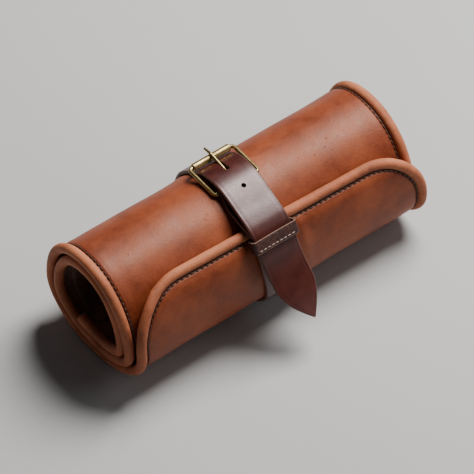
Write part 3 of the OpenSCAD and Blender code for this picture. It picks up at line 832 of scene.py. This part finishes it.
def build_buckle(brass):
    half_y = BUCKLE_LENGTH / 2
    loop, _ = rounded_loop(BUCKLE_WIDTH / 2, half_y, FRAME_CORNER, 10)
    points = np.column_stack([loop[:, 0], loop[:, 1] + half_y, np.zeros(len(loop))])
    count = 20
    ahead, behind = np.roll(points, -1, 0), np.roll(points, 1, 0)
    tangent = ahead - behind
    tangent /= np.linalg.norm(tangent, axis=1)[:, None]
    side = np.cross(tangent, [0, 0, 1.0])
    ring = circle(WIRE_RADIUS, count)
    rings = points[:, None] + side[:, None] * ring[None, :, :1] + np.array([0, 0, 1.0]) * ring[None, :, 1:]
    verts = turned(rings, BUCKLE_ORIGIN, BUCKLE_ALONG).reshape(-1, 3)
    faces = tube_faces(len(rings), count, looped=True)
    new_object("buckle_wire", verts, faces, brass, "frame", ["buckle_frame"])

    half = BUCKLE_WIDTH / 2 - FRAME_CORNER - 0.3
    bore = WIRE_RADIUS + 0.08
    r = ROLLER_RADIUS
    outer = [(-half, bore + 0.1), (-half, r - 0.35), (-half + 0.12, r - 0.12), (-half + 0.4, r)]
    outer += [(x, r) for x in np.linspace(-half + 1.2, half - 1.2, 16)]
    outer += [(half - 0.4, r), (half - 0.12, r - 0.12), (half, r - 0.35), (half, bore + 0.1)]
    inner = [(half - 0.1, bore), (-half + 0.1, bore)]
    rings = lathe(outer + inner, BUCKLE_LENGTH, 64, notch=0.14)
    verts = turned(rings, BUCKLE_ORIGIN, BUCKLE_ALONG).reshape(-1, 3)
    faces = tube_faces(len(rings), 64, looped=True)
    new_object("buckle_roll_tube", verts, faces, brass, "roller", ["buckle_roller"])

    curl = [(-1.5, bore + 0.05), (-1.5, bore + 0.75), (-1.25, bore + 1)]
    curl += [(-x, radius) for x, radius in curl[::-1]]
    rings = lathe(curl, 0.0, 40)
    curled = turned(rings, BUCKLE_ORIGIN, BUCKLE_ALONG).reshape(-1, 3)
    parts = [(curled, tube_faces(len(rings), 40, looped=True))]
    rise = ROLLER_RADIUS + PRONG_RADIUS + 0.05
    length = math.hypot(BUCKLE_LENGTH, rise)
    slope = math.atan2(rise, BUCKLE_LENGTH)
    bend = slope - math.radians(14)
    run = np.concatenate([np.linspace(1.95, length - 1.5, 26), np.linspace(length - 1.0, length + 1.0, 5)])
    path = np.stack([run * math.cos(slope), run * math.sin(slope)], 1)
    tip = np.linspace(1.6, PRONG_TIP - 0.35, 12)
    knee = np.array([length * math.cos(slope), length * math.sin(slope)])
    path[-5:] = [
        knee + np.array([math.cos(a), math.sin(a)]) * d
        for d, a in zip((-1.0, -0.5, 0, 0.5, 1.0), (slope, slope, slope, bend, bend))
    ]
    path = np.concatenate([path, knee + tip[:, None] * [math.cos(bend), math.sin(bend)]])
    radii = np.concatenate([np.full(31, PRONG_RADIUS), PRONG_RADIUS * (1 - 0.3 * tip / PRONG_TIP)])
    close = path[-1] + np.array([[0.18, 0.27, 0.33]]).T * [math.cos(bend), math.sin(bend)]
    path = np.concatenate([path, close])
    radii = np.concatenate([radii, 0.84 * np.array([0.86, 0.62, 0.3])])
    centre = np.column_stack([np.zeros(len(path)), path[:, 0], path[:, 1]])
    ring = circle(1.0, 20)
    d = np.gradient(centre, axis=0)
    d /= np.linalg.norm(d, axis=1)[:, None]
    up = np.cross([1.0, 0, 0], d)
    spokes = np.array([1.0, 0, 0]) * ring[None, :, :1] + up[:, None] * ring[None, :, 1:]
    rings = centre[:, None] + spokes * radii[:, None, None]
    parts.append((turned(rings, BUCKLE_ORIGIN, BUCKLE_ALONG).reshape(-1, 3), tube_faces(len(rings), 20)))
    verts, faces = merged(parts)
    new_object("buckle_tongue", verts, faces, brass, "prong", ["buckle_prong"])


# ---------------------------------------------------------------------------------------------
# Materials
# ---------------------------------------------------------------------------------------------


class Look:
    """A node material round one Principled shader."""

    def __init__(self, name, metallic=0.0, specular=0.5, sheen=0.0):
        self.material = bpy.data.materials.new(name)
        self.material.use_nodes = True
        self.tree = self.material.node_tree
        self.shader = self.tree.nodes["Principled BSDF"]
        self.shader.inputs["Metallic"].default_value = metallic
        self.shader.inputs["Specular IOR Level"].default_value = specular
        self.shader.inputs["Sheen Weight"].default_value = sheen
        self.place = self.tree.nodes.new("ShaderNodeTexCoord").outputs["Object"]

    def node(self, kind, inputs, output=0, **settings):
        node = self.tree.nodes.new(kind)
        for key, value in settings.items():
            setattr(node, key, value)
        for key, value in inputs.items():
            socket = node.inputs[key]
            if isinstance(value, bpy.types.NodeSocket):
                self.tree.links.new(value, socket)
            else:
                socket.default_value = value
        return node.outputs[output]

    def noise(self, scale, detail=4.0, rough=0.55, warp=0.0):
        return self.node(
            "ShaderNodeTexNoise",
            {"Vector": self.place, "Scale": scale, "Detail": detail, "Roughness": rough, "Distortion": warp},
        )

    def cells(self, scale, feature="F1", smoothness=0.3):
        inputs = {"Vector": self.place, "Scale": scale}
        if feature == "SMOOTH_F1":
            inputs["Smoothness"] = smoothness
        return self.node("ShaderNodeTexVoronoi", inputs, feature=feature)

    def remap(self, value, a, b, to_a, to_b):
        inputs = {"Value": value, "From Min": a, "From Max": b, "To Min": to_a, "To Max": to_b}
        return self.node("ShaderNodeMapRange", inputs)

    def math(self, operation, a, b):
        return self.node("ShaderNodeMath", {0: a, 1: b}, operation=operation)

    def ramp(self, value, stops):
        node = self.tree.nodes.new("ShaderNodeValToRGB")
        ramp = node.color_ramp
        while len(ramp.elements) < len(stops):
            ramp.elements.new(0.5)
        for element, (position, colour) in zip(ramp.elements, stops):
            element.position = position
            element.color = (*colour, 1)
        self.tree.links.new(value, node.inputs[0])
        return node.outputs[0]

    def mix(self, share, a, b, mode="MIX"):
        return self.node("ShaderNodeMix", {0: share, 6: a, 7: b}, output=2, data_type="RGBA", blend_type=mode)

    def attribute(self, name):
        return self.node("ShaderNodeAttribute", {}, output=2, attribute_name=name)

    def bump(self, height, millimetres, strength=1.0, under=None):
        inputs = {"Height": height, "Distance": millimetres * MM, "Strength": strength}
        if under is not None:
            inputs["Normal"] = under
        return self.node("ShaderNodeBump", inputs)

    def finish(self, colour, roughness, normal=None):
        self.tree.links.new(colour, self.shader.inputs["Base Color"])
        self.tree.links.new(roughness, self.shader.inputs["Roughness"])
        if normal is not None:
            self.tree.links.new(normal, self.shader.inputs["Normal"])
        return self.material


def leather(
    name, stops, rough, patch=22.0, grain=1100.0, grain_depth=0.12, crease_depth=0.35, pits=0.0, specular=0.5,
):
    """Oiled leather: uneven colour in broad patches, small creases, pores, and scattered pits."""
    look = Look(name, specular=specular)
    broad = look.noise(patch, 3.0, 0.5, 0.6)
    middle = look.noise(patch * 5.5, 6.0, 0.62, 0.3)
    fine = look.noise(patch * 40, 4.0, 0.6)
    blend = look.math("ADD", look.math("MULTIPLY", broad, 0.62), look.math("MULTIPLY", middle, 0.38))
    colour = look.ramp(blend, stops)
    speckle = look.remap(fine, 0.3, 0.75, 0.86, 1.12)
    grey = look.node("ShaderNodeCombineColor", {0: speckle, 1: speckle, 2: speckle})
    colour = look.mix(1.0, colour, grey, "MULTIPLY")
    pores = look.cells(grain, "SMOOTH_F1", 0.4)
    uneven = look.remap(middle, 0.3, 0.7, rough[0], rough[1])
    roughness = look.math("ADD", uneven, look.remap(pores, 0.0, 0.6, 0.06, -0.02))
    crease = look.noise(patch * 9, 5.0, 0.7, 1.6)
    normal = look.bump(crease, crease_depth)
    normal = look.bump(pores, grain_depth, 1.0, normal)
    if pits:
        spots = look.cells(230.0)
        spot = look.remap(spots, 0.05, 0.13, 0.0, 1.0)
        few = look.remap(look.noise(60.0, 2.0), 0.5, 0.6, 1.0, 0.0)
        shown = look.math("MAXIMUM", spot, few)
        colour = look.mix(shown, look.mix(pits, colour, (0.03, 0.012, 0.008, 1)), colour)
        normal = look.bump(shown, 0.25, 1.0, normal)
    return look, colour, roughness, normal


def make_materials():
    panel, colour, roughness, normal = leather(
        "oiled_tan_leather",
        [
            (0.30, (0.12, 0.020, 0.007)), (0.44, (0.205, 0.039, 0.012)),
            (0.58, (0.28, 0.060, 0.019)), (0.74, (0.36, 0.090, 0.032)),
        ],
        (0.45, 0.55), grain_depth=0.035, crease_depth=0.14, pits=0.7, specular=0.55,
    )
    panel.shader.inputs["Specular Tint"].default_value = (1.0, 0.70, 0.58, 1)
    # Painted shade: the tan colour is darkened towards near black along the groove beside the piping, as
    # shade in that groove.
    colour = panel.mix(panel.math("MULTIPLY", panel.attribute("groove_shade"), 0.72), colour, (0.02, 0.005, 0.003, 1))
    tan = panel.finish(colour, roughness, normal)

    piping, colour, roughness, normal = leather(
        "nubuck_piping",
        [(0.32, (0.27, 0.070, 0.027)), (0.50, (0.46, 0.132, 0.052)), (0.70, (0.62, 0.21, 0.092))],
        (0.66, 0.80), patch=30.0, grain=1500.0, grain_depth=0.06, crease_depth=0.22,
    )
    nubuck = piping.finish(colour, roughness, normal)

    strap, colour, roughness, normal = leather(
        "polished_strap_leather",
        [(0.30, (0.030, 0.0055, 0.004)), (0.50, (0.062, 0.010, 0.007)), (0.72, (0.10, 0.018, 0.012))],
        (0.32, 0.39), patch=26.0, grain=1300.0, grain_depth=0.015, crease_depth=0.05, specular=0.6,
    )
    strap.shader.inputs["Specular Tint"].default_value = (1.0, 0.88, 0.88, 1)
    edge = strap.attribute("edge")
    colour = strap.mix(strap.remap(edge, 0.25, 0.9, 0.0, 0.6), colour, (0.17, 0.085, 0.06, 1))
    polished = strap.finish(colour, strap.math("ADD", roughness, strap.math("MULTIPLY", edge, 0.2)), normal)

    keeper, colour, roughness, normal = leather(
        "worn_keeper_leather",
        [(0.30, (0.024, 0.007, 0.005)), (0.50, (0.055, 0.014, 0.010)), (0.72, (0.12, 0.034, 0.022))],
        (0.38, 0.55), patch=60.0, grain=900.0, grain_depth=0.3, crease_depth=0.45,
    )
    edge = keeper.attribute("edge")
    colour = keeper.mix(keeper.remap(edge, 0.2, 0.9, 0.0, 0.7), colour, (0.25, 0.13, 0.09, 1))
    worn = keeper.finish(colour, roughness, normal)

    suede = Look("suede_lining", sheen=0.25)
    nap = suede.noise(900.0, 3.0, 0.7)
    brushed = suede.noise(45.0, 4.0, 0.6, 0.8)
    colour = suede.ramp(brushed, [(0.3, (0.085, 0.034, 0.019)), (0.7, (0.19, 0.082, 0.046))])
    lining = suede.finish(colour, suede.remap(nap, 0.3, 0.7, 0.75, 0.95), suede.bump(nap, 0.18))

    waxed = Look("waxed_thread")
    twist = waxed.noise(2600.0, 2.0, 0.5)
    colour = waxed.ramp(twist, [(0.3, (0.05, 0.018, 0.010)), (0.7, (0.12, 0.048, 0.026))])
    thread = waxed.finish(colour, waxed.remap(twist, 0.3, 0.7, 0.5, 0.75), waxed.bump(twist, 0.12))

    pale = Look("pale_thread")
    twist = pale.noise(2600.0, 2.0, 0.5)
    colour = pale.ramp(twist, [(0.3, (0.34, 0.23, 0.18)), (0.7, (0.58, 0.44, 0.37))])
    light_thread = pale.finish(colour, pale.remap(twist, 0.3, 0.7, 0.5, 0.7), pale.bump(twist, 0.12))

    metal = Look("antique_brass", metallic=1.0)
    tarnish = metal.noise(140.0, 6.0, 0.65, 0.5)
    scratch = metal.noise(1400.0, 3.0, 0.7)
    stops = [(0.32, (0.17, 0.115, 0.045)), (0.5, (0.42, 0.31, 0.13)), (0.72, (0.60, 0.47, 0.22))]
    colour = metal.ramp(tarnish, stops)
    dull = metal.remap(tarnish, 0.3, 0.7, 0.44, 0.26)
    roughness = metal.math("ADD", dull, metal.remap(scratch, 0.3, 0.7, -0.04, 0.06))
    brass = metal.finish(colour, roughness, metal.bump(scratch, 0.04))
    return tan, nubuck, polished, worn, lining, thread, light_thread, brass


# ---------------------------------------------------------------------------------------------
# Floor, light and camera
# ---------------------------------------------------------------------------------------------


def build_floor():
    look = Look("pale_floor", specular=0.3)
    tone = look.noise(3.0, 2.0)
    colour = look.ramp(tone, [(0.3, (0.50, 0.50, 0.50)), (0.7, (0.53, 0.53, 0.53))])
    material = look.finish(colour, look.remap(tone, 0.3, 0.7, 0.6, 0.65))
    mesh = bpy.data.meshes.new("floor")
    size = 6.0
    corners = [(-size, -size, 0), (size, -size, 0), (size, size, 0), (-size, size, 0)]
    mesh.from_pydata(corners, [], [(0, 1, 2, 3)])
    mesh.materials.append(material)
    floor = bpy.data.objects.new("floor", mesh)
    bpy.context.scene.collection.objects.link(floor)


def aim(obj, place, target):
    obj.location = place
    obj.rotation_euler = (Vector(target) - Vector(place)).to_track_quat("-Z", "Y").to_euler()


def area_light(name, direction, distance, size, power, colour=(1, 1, 1)):
    data = bpy.data.lights.new(name, "AREA")
    data.shape = "DISK"
    data.size = size
    data.energy = power
    data.color = colour
    light = bpy.data.objects.new(name, data)
    bpy.context.scene.collection.objects.link(light)
    aim(light, Vector(direction).normalized() * distance + Vector((0, 0, 0.05)), (0, 0, 0.05))


def build_light_and_camera():
    world = bpy.data.worlds.new("studio")
    world.use_nodes = True
    world.node_tree.nodes["Background"].inputs[0].default_value = (0.93, 0.95, 1.0, 1)
    world.node_tree.nodes["Background"].inputs[1].default_value = 0.06
    bpy.context.scene.world = world
    area_light("key", (0.50, 0.14, 0.86), 1.6, 0.9, 50.0, (1.0, 0.98, 0.95))
    area_light("fill", (0.9, -0.75, 0.8), 2.0, 1.2, 5.0)

    azimuth, elevation, distance = math.radians(-37.03), math.radians(50.92), 3.197
    target = Vector((0.0027, -0.00013, 0.0319))
    level = math.cos(elevation)
    offset = Vector((math.sin(azimuth) * level, -math.cos(azimuth) * level, math.sin(elevation)))
    data = bpy.data.cameras.new("camera")
    data.sensor_width = 36.0
    data.lens = 340.0
    camera = bpy.data.objects.new("camera", data)
    bpy.context.scene.collection.objects.link(camera)
    aim(camera, target + offset * distance, target)
    bpy.context.scene.camera = camera


tan, nubuck, polished, worn, lining, thread, light_thread, brass = make_materials()
build_sheet(tan, lining)
build_piping(nubuck)
build_edge_seam(thread)
build_inside(lining, thread)
build_strap(polished, thread)
build_keeper(worn, light_thread)
build_buckle(brass)
build_floor()
build_light_and_camera()
